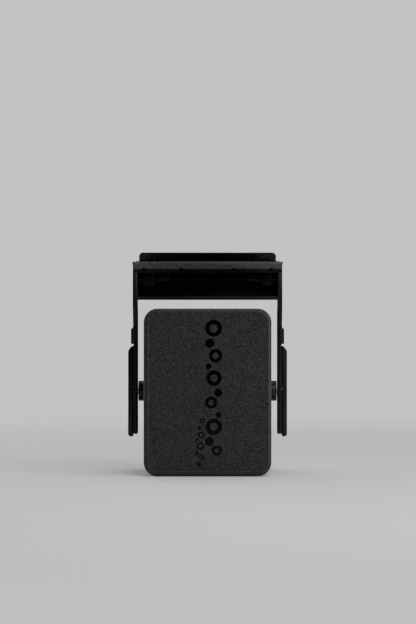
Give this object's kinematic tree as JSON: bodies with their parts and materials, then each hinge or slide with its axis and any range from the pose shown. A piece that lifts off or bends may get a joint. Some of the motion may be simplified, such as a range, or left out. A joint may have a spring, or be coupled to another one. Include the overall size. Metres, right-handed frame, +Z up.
{
  "type": "magnetic glass cleaner",
  "caption": "Magnetic aquarium glass cleaner: felt-padded dry half, floating scrub-padded wet half and a tilting scraper yoke with a clamped blade.",
  "frame": {"origin": "middle of the wet half's pad face, which lies on the glass", "axes": "+Z up along the cleaner's height, +X across its width, -Y from the wet half through the glass towards the dry half"},
  "size_m": [0.1058, 0.083, 0.1451],
  "materials": {
    "dry_case_plastic": "fine-textured grey-black moulded plastic",
    "float_case_plastic": "satin black moulded plastic",
    "base_plastic": "satin black moulded plastic",
    "cradle_plastic": "matt dark grey plastic",
    "ferrite": "ground dark grey ferrite",
    "zinc_steel": "zinc-plated steel",
    "pad_tape": "translucent double-sided tape",
    "felt": "soft black felt",
    "scrub_fibre": "coarse black scrubbing fibre",
    "seal_rubber": "black rubber",
    "pin_steel": "stainless steel",
    "bush_acetal": "natural white acetal",
    "yoke_plastic": "satin black moulded plastic",
    "clip_plastic": "black moulded plastic, slight sheen",
    "clamp_plastic": "matt dark grey plastic",
    "blade_plastic": "smooth black blade plastic"
  },
  "bodies": {
    "wet_half": {"wet_shell": "float_case_plastic", "wet_base_plate": "base_plastic", "wet_seal_gasket": "seal_rubber", "wet_magnet_lower": "ferrite", "wet_magnet_upper": "ferrite", "wet_magnet_cradle": "cradle_plastic", "wet_yoke_plate": "zinc_steel", "wet_pad_tape": "pad_tape", "wet_scrub_pad": "scrub_fibre", "pivot_hub_left": "float_case_plastic", "pivot_hub_right": "float_case_plastic", "pivot_pin_left": "pin_steel", "pivot_pin_right": "pin_steel"},
    "dry_half": {"dry_shell": "dry_case_plastic", "dry_base_plate": "base_plastic", "dry_magnet_lower": "ferrite", "dry_magnet_upper": "ferrite", "dry_magnet_cradle": "cradle_plastic", "dry_yoke_plate": "zinc_steel", "dry_pad_tape": "pad_tape", "dry_felt_pad": "felt"},
    "scraper": {"scraper_frame": "yoke_plastic", "side_clip_left": "clip_plastic", "side_clip_right": "clip_plastic", "pivot_bush_left": "bush_acetal", "pivot_bush_right": "bush_acetal"},
    "clamp": {"blade_clamp": "clamp_plastic"},
    "blade": {"scraper_blade": "blade_plastic"}
  },
  "joints": [
    {"name": "dry_half_pull", "type": "slide", "parent": "wet_half", "child": "dry_half", "axis": [0, -1, 0], "range_m": [0, 0.0137], "stiffness_N_per_m": 200, "springref_m": -0.03},
    {"name": "scraper_tilt", "type": "hinge", "parent": "wet_half", "child": "scraper", "pos_m": [0, 0.021, -0.0009], "axis": [-1, 0, 0], "range_deg": [0, 25]},
    {"name": "clamp_lift", "type": "slide", "parent": "scraper", "child": "clamp", "axis": [0, -0.788, -0.6157], "range_m": [0, 0.005]},
    {"name": "blade_slide", "type": "slide", "parent": "scraper", "child": "blade", "axis": [0, -0.6157, 0.788], "range_m": [0, 0.012]}
  ]
}
